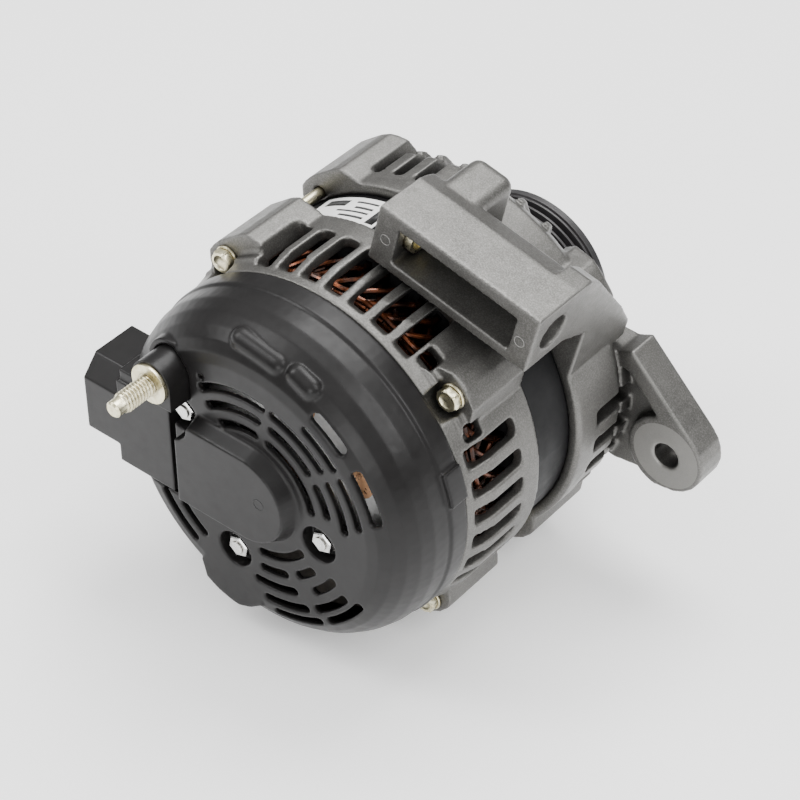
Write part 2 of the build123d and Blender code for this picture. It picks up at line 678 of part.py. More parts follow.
def slip_ring_moulding():
    """Insulating sleeve with a flange between the rings and one at its front end."""
    first, second = SLIP_RING_STARTS
    shelf = first - SLIP_RING_GAP
    body = rev([(SHAFT_START, SHAFT_TAIL_R), (SHAFT_START, SLIP_RING_FLANGE_R),
                (shelf, SLIP_RING_FLANGE_R), (shelf, SLIP_RING_CORE_R), (17.0, SLIP_RING_CORE_R),
                (17.0, SLIP_RING_FLANGE_R), (SHAFT_TAIL_END, SLIP_RING_FLANGE_R),
                (SHAFT_TAIL_END, SHAFT_TAIL_R)])
    middle = (first + SLIP_RING_WIDTH + SLIP_RING_GAP, second - SLIP_RING_GAP)
    return body + tube(SLIP_RING_FLANGE_R, SHAFT_TAIL_R + 1, *middle)


def slip_ring(start):
    return tube(SLIP_RING_R, SLIP_RING_CORE_R, start, start + SLIP_RING_WIDTH)


def spacer_collar():
    return tube(COLLAR_R, SHAFT_R, POLE_FRONT, FRONT_BEARING_START)


def pulley():
    """Six-rib belt pulley: wide front land, hollow back around the bearing hub."""
    top = PULLEY_R
    crest = top - RIB_DROP
    groove_start = BELT_STATION - RIB_COUNT * RIB_PITCH / 2
    outer = [(PULLEY_START, crest - 1.0), (PULLEY_START + 0.6, crest)]
    for i in range(RIB_COUNT):
        low = groove_start + i * RIB_PITCH
        middle = low + RIB_PITCH / 2
        outer += [(low + 0.45, crest), (middle - 0.35, crest - RIB_DEPTH),
                  (middle + 0.35, crest - RIB_DEPTH), (low + RIB_PITCH - 0.45, crest)]
    last = groove_start + RIB_COUNT * RIB_PITCH
    outer += [(last + 0.3, crest), (last + 0.8, top), (PULLEY_END - 1.2, top), (PULLEY_END, top - 1.2)]
    hub_start = FRONT_BEARING_START + FRONT_BEARING_WIDTH
    inner = [(PULLEY_END, 28.0), (NUT_START + 2, 27.0), (NUT_START, PULLEY_HUB_R - 0.5),
             (NUT_START, SHAFT_R), (hub_start, SHAFT_R), (hub_start, PULLEY_HUB_R),
             (146.0, PULLEY_HUB_R), (149.0, 16.5), (150.0, 22.0), (149.0, 27.0), (147.0, 28.2),
             (PULLEY_START, 28.6)]
    return rev(outer + inner)


def pulley_nut():
    nut = hexagon(22.0, NUT_START, NUT_START + NUT_LENGTH)
    nut = chamfer(nut.faces().sort_by(Axis.Y)[-1].edges(), 1.0)
    return nut - rod(SHAFT_R - THREAD_DROP, NUT_START - 5, SHAFT_END + 5)


# ---------------------------------------------------------------- bearings
def bearing(outer_r, bore_r, start, width):
    """Outer race, inner race and the balls with their cage."""
    pitch_r = (outer_r + bore_r) / 2
    ball_r = (outer_r - bore_r) * BALL_SHARE
    middle = start + width / 2
    gap = ball_r * 0.45
    groove = Pos(0, at(middle), 0) * Rot(90, 0, 0) * Torus(pitch_r, ball_r + RUN_GAP)
    outer = tube(outer_r, pitch_r + gap, start, start + width) - groove
    inner = tube(pitch_r - gap, bore_r, start, start + width) - groove
    cage_r = gap - 2 * CLEAR
    cage = tube(pitch_r + cage_r, pitch_r - cage_r, middle - ball_r * 0.8, middle + ball_r * 0.8)
    ball = Pos(pitch_r, at(middle), 0) * Rot(90, 0, 0) * Sphere(ball_r)
    for i in range(BALL_COUNT):
        cage += turn(ball, 360 / BALL_COUNT * (i + 0.5))
    return outer, inner, cage


def bearing_retainer():
    seat = FRONT_BEARING_START - RETAINER_THICK
    plate = tube(RETAINER_R, FRONT_BEARING_R - 4.5, seat, FRONT_BEARING_START)
    for angle in SCREW_ANGLES:
        x, z = polar(SCREW_CIRCLE_R, angle)
        plate -= rod(SCREW_R + CLEAR, seat - 1, seat + 5, x, z)
    return plate


def retainer_screw(angle):
    x, z = polar(SCREW_CIRCLE_R, angle)
    seat = FRONT_BEARING_START - RETAINER_THICK
    top = seat - SCREW_HEAD
    screw = rod(SCREW_R, seat - 1, seat + 7, x, z) + rod(SCREW_HEAD_R, top, seat, x, z)
    slot = Pos(x, at(top), z) * Box(5.0, 1.6, 0.9)
    cross = Pos(x, at(top), z) * Box(0.9, 1.6, 5.0)
    return screw - [slot, cross]


# ---------------------------------------------------------------- rear electrics
def plate_notches(start, end):
    """Spaces that the brush holder, regulator and connector need."""
    stations = (start - 1, end + 1)
    return [box((-70, 1), stations, (CONN_STEP_Z - 1.3, CONN_Z[1] + 1.4)),
            box((-70, -49), stations, (CONN_Z[1], CONN_Z[1] + 5.9)), rod(PLATE_INNER_R, *stations)]


def stud_holes(radius, start, end):
    holes = []
    for stud_radius, angle in COVER_STUDS:
        x, z = polar(stud_radius, angle)
        holes.append(rod(radius, start - 1, end + 1, x, z))
    return holes


def positive_plate():
    start, end = POSITIVE_PLATE
    plate = tube(58.0, PLATE_INNER_R, start, end) & sector(90, -28, 162, start - 1, end + 1)
    plate = biggest(plate)
    plate -= plate_notches(start, end) + stud_holes(STUD_R + 1.5, start, end)
    plate -= rod(STUD_SHANK_R, start - 1, end + 1, TERMINAL_X, TERMINAL_Z)
    for radius, angle in POSITIVE_DIODES:
        x, z = polar(radius, angle)
        plate -= rod(DIODE_R, start - 1, end + 1, x, z)
    return biggest(plate)


def negative_plate():
    start, end = NEGATIVE_PLATE
    plate = tube(64.0, PLATE_INNER_R, start, end) & sector(90, -160, 160, start - 1, end + 1)
    plate = biggest(plate)
    plate -= plate_notches(start, end) + stud_holes(STUD_R, start, end)
    for radius, angle in NEGATIVE_DIODES:
        x, z = polar(radius, angle)
        plate -= rod(DIODE_R, start - 1, end + 1, x, z)
    return biggest(plate)


def diode(spot, plate_start, lead_forward):
    radius, angle = spot
    x, z = polar(radius, angle)
    if lead_forward:
        case = rod(DIODE_R, plate_start, plate_start + 5.5, x, z)
        return case + rod(DIODE_LEAD_R, plate_start + 5, plate_start + 9, x, z)
    case = rod(DIODE_R, plate_start - 2.1, plate_start + 3.4, x, z)
    return case + rod(DIODE_LEAD_R, plate_start - 6, plate_start - 2, x, z)


def terminal_board():
    start, end = TERMINAL_BOARD
    board = tube(60.0, 26.0, start, end) & sector(90, -150, 150, start - 1, end + 1)
    board = biggest(board)
    board -= plate_notches(start, end) + stud_holes(STUD_R, start, end)
    for radius, angle in POSITIVE_DIODES + NEGATIVE_DIODES:
        x, z = polar(radius, angle)
        board -= rod(DIODE_LEAD_R + 0.6, start - 1, end + 1, x, z)
    return biggest(board)


def cover_stud(index):
    x, z = polar(*COVER_STUDS[index])
    return rod(STUD_R, 0.6, REAR_FACE_END, x, z)


def cover_nut(index):
    x, z = polar(*COVER_STUDS[index])
    nut = hexagon(NUT_AF, POCKET_FLOOR - 4.3, POCKET_FLOOR - 1.0, x, z, 20.0)
    nut = chamfer(nut.faces().sort_by(Axis.Y)[0].edges(), 0.5)
    nut += rod(NUT_FLANGE_R, POCKET_FLOOR - 1.1, POCKET_FLOOR, x, z)
    return nut - rod(STUD_R, 0, 8, x, z)


def voltage_regulator():
    body = box((-60.5, -40.0), (6.6, 21.0), (-19, 13))
    fins = []
    for i in range(6):
        low = -18 + i * 5.2
        fins.append(box((-61.5, -39), (17.0, 22.0), (low + 1.4, low + 4.0)))
    return body - fins


def connector_housing():
    low_x, high_x = CONN_X
    low_z, high_z = CONN_Z
    left = [(low_x, high_z), (low_x, low_z), (CONN_STEP_X, low_z), (CONN_STEP_X, CONN_STEP_Z)]
    shell = slab(left + [(high_x, CONN_STEP_Z), (high_x, high_z)], 0.0, CONN_FLANGE)
    shell += slab(left + [(CONN_INNER_X, CONN_STEP_Z), (CONN_INNER_X, high_z)], CONN_FLANGE, CONN_DEPTH)
    slope = Polyline((low_x - 1, at(-1), high_z - CONN_CHAMFER - 1.4),
                     (low_x - 1, at(CONN_CHAMFER + 0.4), high_z + 1),
                     (low_x - 1, at(-1), high_z + 1), close=True)
    shell -= extrude(make_face(slope), amount=18.0, dir=(1, 0, 0))
    shell += box((-63.5, -50.5), (1.0, 12.0), (high_z - 1, high_z + 4.9))
    shell -= box((low_x - 1, low_x + SOCKET_DEPTH), SOCKET_STATIONS, SOCKET_Z)
    return shell - connector_pins()


def connector_pins():
    """Lead frame: three blades in the socket joined by a bar buried in the wall."""
    root_x = CONN_X[0] + SOCKET_DEPTH
    bar = box((root_x, root_x + 1.6), (11.0, 15.0), (-8.0, 9.8))
    blades = []
    for i in range(3):
        middle = PIN_MIDDLE_Z + (i - 1) * PIN_PITCH
        blades.append(box((root_x - 9.0, root_x + 0.8), (12.6, 13.4), (middle - 1.1, middle + 1.1)))
    return bar + blades


def brush_holder():
    body = box(HOLDER_X, HOLDER_STATIONS, (-HOLDER_HALF, HOLDER_HALF))
    half = BRUSH_SIZE / 2 + BRUSH_GAP
    for station in BRUSH_STATIONS:
        body -= box((HOLDER_X[0] + 2.0, 0), (station - half, station + half), (-half, half))
    return body


def brush(index):
    half = BRUSH_SIZE / 2
    station = BRUSH_STATIONS[index]
    return box((BRUSH_TIP_X - BRUSH_LENGTH, BRUSH_TIP_X), (station - half, station + half), (-half, half))


def brush_spring(index):
    """Coil spring behind a brush."""
    station = BRUSH_STATIONS[index]
    start = HOLDER_X[0] + 2.1
    length = BRUSH_TIP_X - BRUSH_LENGTH - 0.7 - start
    path = Helix(pitch=length / SPRING_TURNS, height=length, radius=SPRING_R)
    profile = Plane(origin=path @ 0, z_dir=path % 0) * Circle(SPRING_WIRE_R)
    coil = sweep(profile, path=path, is_frenet=True)
    return Pos(start + 0.3, at(station), 0) * Rot(0, 90, 0) * coil


# ---------------------------------------------------------------- cover and terminal
def cover_profile(inset):
    flat = COVER_FLAT_R
    rise = COVER_RIM_REAR - 1.0
    points = [(inset, 0.0), (inset, flat - 0.3 * inset)]
    for i in range(1, DOME_STEPS + 1):
        part = math.radians(90 * i / DOME_STEPS)
        station = rise * (1 - math.cos(part)) + inset * math.cos(part)
        radius = flat + (COVER_R - 0.8 - flat) * math.sin(part) - inset * math.sin(part)
        points.append((station, radius))
    return points


def rear_cover():
    outer = cover_profile(0.0)
    outer += [(COVER_RIM_REAR, COVER_R - 0.8), (COVER_RIM_REAR + 0.9, COVER_R)]
    outer += [(REAR_HOUSING_START, COVER_R)]
    shell = rev(outer + [(REAR_HOUSING_START, 0.0)])
    shell += brush_pad(0.0)
    hollow = cover_profile(COVER_WALL) + [(REAR_HOUSING_START + 1, COVER_R - 0.8 - COVER_WALL),
                                          (REAR_HOUSING_START + 1, 0.0)]
    shell = shell - rev(hollow)
    shell -= brush_pad(COVER_WALL)
    shell += cover_lobe(0.0) - cover_lobe(COVER_WALL) - rev(hollow)
    side_tab = tube(COVER_R + 1.6, COVER_R - 1.5, COVER_RIM_REAR + 0.5, REAR_HOUSING_START)
    shell += side_tab & sector(90, 12, 23, 20, 40)
    shell += cover_bumps() - rev(hollow)
    for radius, angle in COVER_STUDS:
        x, z = polar(radius, angle)
        shell += rod(POCKET_R + POCKET_WALL, 0.0, POCKET_FLOOR + POCKET_WALL, x, z)
        shell -= [rod(POCKET_R, -10, POCKET_FLOOR, x, z), rod(STUD_R + CLEAR, -5, 15, x, z)]
    shell -= cover_vents()
    shell -= box((-23.2, -20.8), (-5, 12), (39.3, 41.7))
    # opening for the connector moulding
    connector_z = (CONN_STEP_Z - CLEAR, CONN_Z[1] + CLEAR)
    shell -= box((-90, CONN_X[1] + 2.6), (-8, CONN_DEPTH + 0.6), connector_z)
    shell -= box((-67, -49), (-8, 13), (10, 22))
    # tower opening and its collar
    shell += tower_shape(2.6, 1.5, 8.0) - rod(90, -5, -0.1)
    shell -= tower_shape(CLEAR, -20, 12)
    return biggest(shell)


def brush_pad(inset):
    """Raised housing over the brushes and slip rings, with sloping sides."""
    start = -PAD_HEIGHT + inset
    right = 18.4 - inset
    spread = 0.45                 # how far the sides lean out per mm of height
    depth = 4.0 - start
    body = Pos(0, 0, 1.0) * rev([(start, 0), (start, right), (4.0, right + spread * depth), (4.0, 0)])
    faces = []
    for station, grow in ((start, 0.0), (4.0, spread * depth)):
        low, high = -17.4 + inset - grow, 19.4 - inset + grow
        corners = [(-31.0 + inset, low), (0.0, low), (0.0, high), (-24.0, high),
                   (-31.0 + inset, high - 5.5)]
        faces.append(make_face(Polyline(*[(x, at(station), z) for x, z in corners], close=True)))
    return body + loft(faces)


def cover_lobe(inset):
    """Bulge of the flat face at the lower left."""
    outline = [(46.0, -88), (55.5 - inset, -88), (60.5 - inset, -94), (63.5 - inset, -99),
               (64.6 - inset, -106), (63.0 - inset, -114), (57.0 - inset, -119), (46.0, -119)]
    lobe = slab([polar(radius, angle) for radius, angle in outline], inset, COVER_RIM_REAR + 5)
    outside = rev([(inset, 0), (inset, 63.5 - inset), (inset + 1.8, 66 - inset),
                   (14, 69.2 - inset), (40, 69.2 - inset), (40, 0)])
    return lobe & outside


def cover_bumps():
    """Two soft swellings where the dome leaves the flat face."""
    bumps = []
    for low, high in (((-7, 60.8), (9.5, 58.6)), ((17.5, 58.0), (23.5, 56.0))):
        start = Vector(low[0], at(6.8), low[1])
        end = Vector(high[0], at(6.2), high[1])
        run = end - start
        bar = Plane(origin=(start + end) / 2, z_dir=run) * Cylinder(BUMP_R, run.length)
        bumps += [bar, Pos(*start) * Sphere(BUMP_R), Pos(*end) * Sphere(BUMP_R)]
    return bumps[0] + bumps[1:]


def cover_vents():
    rings = {
        27.4: [(118, 86), (72, 13), (-39, -83)],
        34.9: [(122, 84), (73, 43), (32, 14), (-67, -84), (-41, -54)],
        42.1: [(121, 82), (75, 42), (33, 8), (-65, -89), (-32, -48)],
        49.2: [(59, 41), (34, 13), (-62, -84), (-34, -54)],
        54.6: [(-58, -80), (-30, -51)],
    }
    cuts = []
    for radius, spans in rings.items():
        for high, low in spans:
            cuts.append(arc_slot(radius, (low, high), VENT_WIDTH, -8, 12))
    cuts.append(arc_slot(WINDOW_R, (46, 59), WINDOW_WIDTH, -8, 20))
    cuts.append(arc_slot(WINDOW_R, (17, 35), WINDOW_WIDTH, -8, 20))
    cuts.append(arc_slot(50.0, (-150, -127), VENT_WIDTH, -8, 20))
    cuts.append(arc_slot(43.2, (-142, -126), VENT_WIDTH, -8, 20))
    return cuts


def terminal_insulator():
    post = tower_shape(0.0, TOWER_TOP, POSITIVE_PLATE[0])
    return post - rod(STUD_SHANK_R, -20, 20, TERMINAL_X, TERMINAL_Z)


def tower_shape(grow, start, end):
    """Post with a round top and flat sides."""
    radius = TOWER_R + grow
    post = rod(radius, start, end, TERMINAL_X, TERMINAL_Z)
    return post + box((TERMINAL_X - radius, TERMINAL_X + radius), (start, end),
                      (TERMINAL_Z - 9.0 - grow, TERMINAL_Z))


def terminal_washer():
    return tube(WASHER_R, STUD_SHANK_R, TOWER_TOP - WASHER_THICK, TOWER_TOP, TERMINAL_X, TERMINAL_Z)


def output_stud():
    thread_end = TOWER_TOP - WASHER_THICK
    thread_start = OUTPUT_STUD_TIP + STUD_DOG
    head_start = POSITIVE_PLATE[1]
    stud = rod(OUTPUT_STUD_R, thread_start, thread_end, TERMINAL_X, TERMINAL_Z)
    stud += rod(STUD_SHANK_R, thread_end, head_start + 0.8, TERMINAL_X, TERMINAL_Z)
    stud += rod(OUTPUT_STUD_R - 0.8, OUTPUT_STUD_TIP, thread_start, TERMINAL_X, TERMINAL_Z)
    return stud + rod(STUD_HEAD_R, head_start, head_start + 4, TERMINAL_X, TERMINAL_Z)


# ---------------------------------------------------------------- assembly
def build_nodes():
    nodes = {
        "front_housing": front_housing(),
        "rear_housing": rear_housing(),
        "stator_core": stator_core(),
        "stator_winding": stator_winding(),
        "rating_label": rating_label(),
        "mount_bushing": mount_bushing(),
        "bearing_retainer": bearing_retainer(),
        "rectifier_positive_plate": positive_plate(),
        "rectifier_negative_plate": negative_plate(),
        "terminal_board": terminal_board(),
        "voltage_regulator": voltage_regulator(),
        "connector_housing": connector_housing(),
        "connector_pins": connector_pins(),
        "brush_holder": brush_holder(),
        "rear_cover": rear_cover(),
        "terminal_insulator": terminal_insulator(),
        "terminal_washer": terminal_washer(),
        "output_stud": output_stud(),
        "shaft": shaft(),
        "claw_pole_rear": claw_pole(True),
        "claw_pole_front": claw_pole(False),
        "field_coil": field_coil(),
        "rear_fan": fan(True),
        "front_fan": fan(False),
        "slip_ring_moulding": slip_ring_moulding(),
        "spacer_collar": spacer_collar(),
        "pulley": pulley(),
        "pulley_nut": pulley_nut(),
    }
    for i, angle in enumerate(BOLT_ANGLES):
        nodes[f"through_bolt_{i + 1}"] = through_bolt(angle)
    for i in range(3):
        nodes[f"cover_stud_{i + 1}"] = cover_stud(i)
        nodes[f"cover_nut_{i + 1}"] = cover_nut(i)
        nodes[f"retainer_screw_{i + 1}"] = retainer_screw(SCREW_ANGLES[i])
        nodes[f"diode_positive_{i + 1}"] = diode(POSITIVE_DIODES[i], POSITIVE_PLATE[0], True)
        nodes[f"diode_negative_{i + 1}"] = diode(NEGATIVE_DIODES[i], NEGATIVE_PLATE[0], False)
    for i in range(2):
        nodes[f"brush_{i + 1}"] = brush(i)
        nodes[f"brush_spring_{i + 1}"] = brush_spring(i)
        nodes[f"slip_ring_{i + 1}"] = slip_ring(SLIP_RING_STARTS[i])
    sizes = {
        "front": (FRONT_BEARING_R, SHAFT_R, FRONT_BEARING_START, FRONT_BEARING_WIDTH),
        "rear": (REAR_BEARING_R, REAR_BEARING_BORE_R, REAR_BEARING_START, REAR_BEARING_WIDTH),
    }
    for end, size in sizes.items():
        outer, inner, balls = bearing(*size)
        nodes[f"{end}_bearing_outer_race"] = outer
        nodes[f"{end}_bearing_inner_race"] = inner
        nodes[f"{end}_bearing_balls"] = balls
    return nodes


def main():
    os.makedirs(OUT, exist_ok=True)
    for name, shape in build_nodes().items():
        export_step(shape.solid(), f"{OUT}/{name}.step")
    print("built")


main()
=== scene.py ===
"""Car alternator: materials, small details, floor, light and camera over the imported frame."""
import json
import math

import bmesh
import bpy
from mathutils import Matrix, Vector

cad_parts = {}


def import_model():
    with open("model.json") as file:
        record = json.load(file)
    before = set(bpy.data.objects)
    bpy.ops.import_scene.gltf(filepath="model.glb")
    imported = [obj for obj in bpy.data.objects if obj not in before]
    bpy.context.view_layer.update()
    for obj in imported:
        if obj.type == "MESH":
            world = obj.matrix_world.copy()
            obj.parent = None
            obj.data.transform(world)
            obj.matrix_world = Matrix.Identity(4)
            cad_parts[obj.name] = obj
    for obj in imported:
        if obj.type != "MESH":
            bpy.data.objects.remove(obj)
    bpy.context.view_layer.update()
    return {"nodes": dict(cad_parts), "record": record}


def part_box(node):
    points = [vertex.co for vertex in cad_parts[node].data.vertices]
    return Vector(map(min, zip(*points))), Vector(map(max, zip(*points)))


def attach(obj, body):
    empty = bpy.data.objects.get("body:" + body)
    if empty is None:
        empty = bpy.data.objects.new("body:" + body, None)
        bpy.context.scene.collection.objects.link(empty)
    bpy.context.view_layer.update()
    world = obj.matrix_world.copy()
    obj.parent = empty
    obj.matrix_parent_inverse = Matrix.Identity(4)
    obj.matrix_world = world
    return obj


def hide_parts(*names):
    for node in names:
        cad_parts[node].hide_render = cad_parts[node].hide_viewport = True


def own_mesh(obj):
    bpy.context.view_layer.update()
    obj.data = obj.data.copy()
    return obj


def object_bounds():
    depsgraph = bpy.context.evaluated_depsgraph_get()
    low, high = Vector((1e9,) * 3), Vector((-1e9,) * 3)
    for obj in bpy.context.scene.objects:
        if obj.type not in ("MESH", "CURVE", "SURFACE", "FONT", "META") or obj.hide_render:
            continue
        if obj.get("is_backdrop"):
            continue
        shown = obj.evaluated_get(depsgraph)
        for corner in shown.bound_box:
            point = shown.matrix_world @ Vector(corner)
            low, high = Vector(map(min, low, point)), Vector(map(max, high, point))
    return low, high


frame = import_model()
nodes = frame["nodes"]
MM = 0.001

# ------------------------------------------------------------------ view of the photograph
COVER_FACE_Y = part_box("front_bearing_outer_race")[0].y - 124.0 * MM   # flat rear face of the cover
VIEW_AZIMUTH = 39.25
VIEW_ELEVATION = 40.91
VIEW_DISTANCE = 787 * MM
VIEW_TARGET = Vector((66.3 * MM, COVER_FACE_Y, 78.6 * MM))
LENS = 112.5
SKY_STRENGTH = 1.45


# machined boss of the ear: bore position and the rear face, in the shared frame
EAR_BORE = (92.5 * MM, -14.4 * MM)
EAR_FACE_Y = COVER_FACE_Y + 119.8 * MM
BOSS_R = 14.0 * MM
BOSS_DEPTH = 0.8 * MM         # how far the machined look reaches in front of and behind the face
BOSS_FEED = 0.55 * MM         # distance between turning marks
BLOCK_FACE_Y = COVER_FACE_Y + 55.0 * MM
EJECTOR_1 = (14.9 * MM, 84.6 * MM)
EJECTOR_2 = (71.9 * MM, 70.0 * MM)
PAD_MARK = (8.1 * MM, 2.8 * MM)


# ------------------------------------------------------------------ node helpers
class Surface:
    """A material being built: short calls for the nodes that every material needs."""

    def __init__(self, name, **settings):
        self.material = bpy.data.materials.new(name)
        self.material.use_nodes = True
        self.tree = self.material.node_tree
        self.shader = self.tree.nodes["Principled BSDF"]
        self.coords = self.tree.nodes.new("ShaderNodeTexCoord").outputs["Object"]
        for socket, value in settings.items():
            self.shader.inputs[socket.replace("_", " ")].default_value = value

    def node(self, kind, **inputs):
        made = self.tree.nodes.new(kind)
        for name, value in inputs.items():
            self.feed(made.inputs[name.replace("_", " ")], value)
        return made

    def feed(self, socket, value):
        if isinstance(value, bpy.types.NodeSocket):
            self.tree.links.new(value, socket)
        else:
            socket.default_value = value

    def stretched(self, scale):
        mapping = self.node("ShaderNodeMapping", Vector=self.coords)
        mapping.inputs["Scale"].default_value = scale
        return mapping.outputs["Vector"]

    def noise(self, scale, detail=4.0, roughness=0.55, stretch=None, distortion=0.0):
        vector = self.stretched(stretch) if stretch else self.coords
        made = self.node("ShaderNodeTexNoise", Vector=vector, Scale=scale, Detail=detail,
                         Roughness=roughness, Distortion=distortion)
        return made.outputs["Fac"]

    def cells(self, scale, randomness=1.0, feature="F1"):
        made = self.node("ShaderNodeTexVoronoi", Vector=self.coords, Scale=scale, Randomness=randomness)
        made.feature = feature
        return made.outputs["Distance"]

    def ramp(self, fac, stops):
        made = self.node("ShaderNodeValToRGB", Fac=fac)
        elements = made.color_ramp.elements
        while len(elements) < len(stops):
            elements.new(0.5)
        for element, (position, value) in zip(elements, stops):
            element.position = position
            element.color = (*value, 1) if isinstance(value, tuple) else (value, value, value, 1)
        return made.outputs["Color"]

    def math(self, operation, a, b=0.0, clamp=False):
        made = self.node("ShaderNodeMath")
        made.operation = operation
        made.use_clamp = clamp
        self.feed(made.inputs[0], a)
        self.feed(made.inputs[1], b)
        return made.outputs[0]

    def mix(self, fac, a, b, blend="MIX"):
        made = self.node("ShaderNodeMix")
        made.data_type = "RGBA"
        made.blend_type = blend
        self.feed(made.inputs["Factor"], fac)
        for socket, value in ((made.inputs[6], a), (made.inputs[7], b)):
            self.feed(socket, value if isinstance(value, bpy.types.NodeSocket) else (*value, 1))
        return made.outputs[2]

    def hollow(self, distance, low=0.35, high=0.95):
        """0 in corners and hollows, 1 in the open."""
        made = self.node("ShaderNodeAmbientOcclusion", Distance=distance)
        made.samples = 6
        return self.ramp(made.outputs["AO"], [(low, 0.0), (high, 1.0)])

    def edge(self, radius, gain=6.0):
        """1 along sharp outer and inner edges, found from the rounded normal."""
        rounded = self.node("ShaderNodeBevel", Radius=radius)
        rounded.samples = 6
        flat = self.node("ShaderNodeNewGeometry").outputs["Normal"]
        dot = self.node("ShaderNodeVectorMath")
        dot.operation = "DOT_PRODUCT"
        self.feed(dot.inputs[0], rounded.outputs["Normal"])
        self.feed(dot.inputs[1], flat)
        bent = self.math("SUBTRACT", 1.0, dot.outputs["Value"])
        return self.math("MULTIPLY", bent, gain, clamp=True)

    def axes(self):
        split = self.node("ShaderNodeSeparateXYZ", Vector=self.coords)
        return split.outputs["X"], split.outputs["Y"], split.outputs["Z"]

    def radius_from(self, x0, z0):
        """Distance from an axis along Y."""
        x, _, z = self.axes()
        dx = self.math("SUBTRACT", x, x0)
        dz = self.math("SUBTRACT", z, z0)
        squares = self.math("ADD", self.math("MULTIPLY", dx, dx), self.math("MULTIPLY", dz, dz))
        return self.math("SQRT", squares)

    def bumps(self, *layers, rounding=0.0):
        """Stack of (height, strength, distance) bump layers over an optional rounded-edge normal."""
        normal = None
        if rounding:
            rounded = self.node("ShaderNodeBevel", Radius=rounding)
            rounded.samples = 6
            normal = rounded.outputs["Normal"]
        for height, strength, distance in layers:
            bump = self.node("ShaderNodeBump", Height=height)
            bump.inputs["Strength"].default_value = strength
            bump.inputs["Distance"].default_value = distance
            if normal is not None:
                self.feed(bump.inputs["Normal"], normal)
            normal = bump.outputs["Normal"]
        self.feed(self.shader.inputs["Normal"], normal)

    def finish(self, color, roughness):
        self.feed(self.shader.inputs["Base Color"], color)
        self.feed(self.shader.inputs["Roughness"], roughness)
        return self.material


# ------------------------------------------------------------------ materials
def cast_aluminium():
    s = Surface("cast_aluminium", Metallic=0.75)
    grain = s.noise(1900, 4, 0.75)
    pores = s.ramp(s.noise(1700, 3, 0.8), [(0.45, 0.0), (0.62, 1.0)])
    cloud = s.noise(38, 6, 0.62)
    flow = s.noise(120, 5, 0.6, distortion=0.6)
    tint = s.ramp(cloud, [(0.3, (0.072, 0.070, 0.065)), (0.7, (0.115, 0.112, 0.105))])
    tint = s.mix(s.math("MULTIPLY", flow, 0.30), tint, (0.165, 0.162, 0.154))
    tint = s.mix(s.math("MULTIPLY", pores, 0.35), tint, (0.27, 0.266, 0.255))
    # lighter along edges: partly edge wear, partly a painted edge highlight
    tint = s.mix(s.math("MULTIPLY", s.edge(0.9 * MM, 9.0), 0.6), tint, (0.42, 0.415, 0.40))
    # painted shade: the casting is darkened in corners and hollows, where shade falls
    open_air = s.hollow(11 * MM, 0.15, 0.85)
    painted_hollow_shade = s.mix(open_air, (0.14, 0.13, 0.12), (1, 1, 1))
    tint = s.mix(1.0, tint, painted_hollow_shade, "MULTIPLY")
    rough = s.ramp(s.noise(300, 4, 0.6), [(0.3, 0.34), (0.75, 0.50)])
    from_bore = s.radius_from(*EAR_BORE)
    _, y, _ = s.axes()
    boss = s.math("MULTIPLY", s.math("LESS_THAN", from_bore, BOSS_R),
                  s.math("LESS_THAN", y, EAR_FACE_Y + BOSS_DEPTH))
    boss = s.math("MULTIPLY", boss, s.math("GREATER_THAN", y, EAR_FACE_Y - BOSS_DEPTH))
    tint = s.mix(s.math("MULTIPLY", boss, 0.7), tint, (0.27, 0.265, 0.25))
    turned = s.math("SINE", s.math("MULTIPLY", from_bore, 2 * math.pi / BOSS_FEED))
    rings = s.math("MULTIPLY", boss, turned)
    s.bumps((grain, 0.6, 0.09 * MM), (s.noise(520, 4, 0.7), 0.30, 0.16 * MM), (rings, 0.25, 0.05 * MM))
    return s.finish(tint, rough)


def black_plastic():
    s = Surface("black_plastic", IOR=1.5, Specular_IOR_Level=0.22)
    mottle = s.noise(60, 5, 0.6)
    tint = s.ramp(mottle, [(0.3, (0.0060, 0.0055, 0.0055)), (0.7, (0.0105, 0.0098, 0.0098))])
    specks = s.ramp(s.cells(700), [(0.02, 1.0), (0.045, 0.0)])
    sparse = s.ramp(s.noise(90, 2, 0.5), [(0.60, 0.0), (0.68, 1.0)])
    dust = s.math("MULTIPLY", specks, sparse)
    tint = s.mix(s.math("MULTIPLY", dust, 0.5), tint, (0.30, 0.29, 0.27))
    tint = s.mix(s.math("MULTIPLY", s.edge(0.5 * MM), 0.25), tint, (0.04, 0.04, 0.04))
    rough = s.ramp(s.noise(220, 4, 0.6), [(0.3, 0.30), (0.75, 0.42)])
    s.bumps((s.noise(2600, 2, 0.5), 0.25, 0.03 * MM), (s.noise(45, 3, 0.5), 0.10, 0.3 * MM),
            rounding=0.45 * MM)
    return s.finish(tint, rough)


def plated(name, low, high, rough_low, rough_high, scratch=1.0):
    s = Surface(name, Metallic=1.0)
    film = s.noise(240, 5, 0.6, distortion=1.2)
    tint = s.ramp(film, [(0.3, low), (0.72, high)])
    # painted shade: darker in corners and hollows, where shade falls
    tint = s.mix(s.hollow(2.5 * MM), s.mix(1.0, tint, (0.35, 0.32, 0.28), "MULTIPLY"), tint)
    rough = s.ramp(s.noise(900, 4, 0.65), [(0.3, rough_low), (0.75, rough_high)])
    s.bumps((s.noise(1500, 3, 0.6), 0.22 * scratch, 0.03 * MM), rounding=0.25 * MM)
    return s.finish(tint, rough)


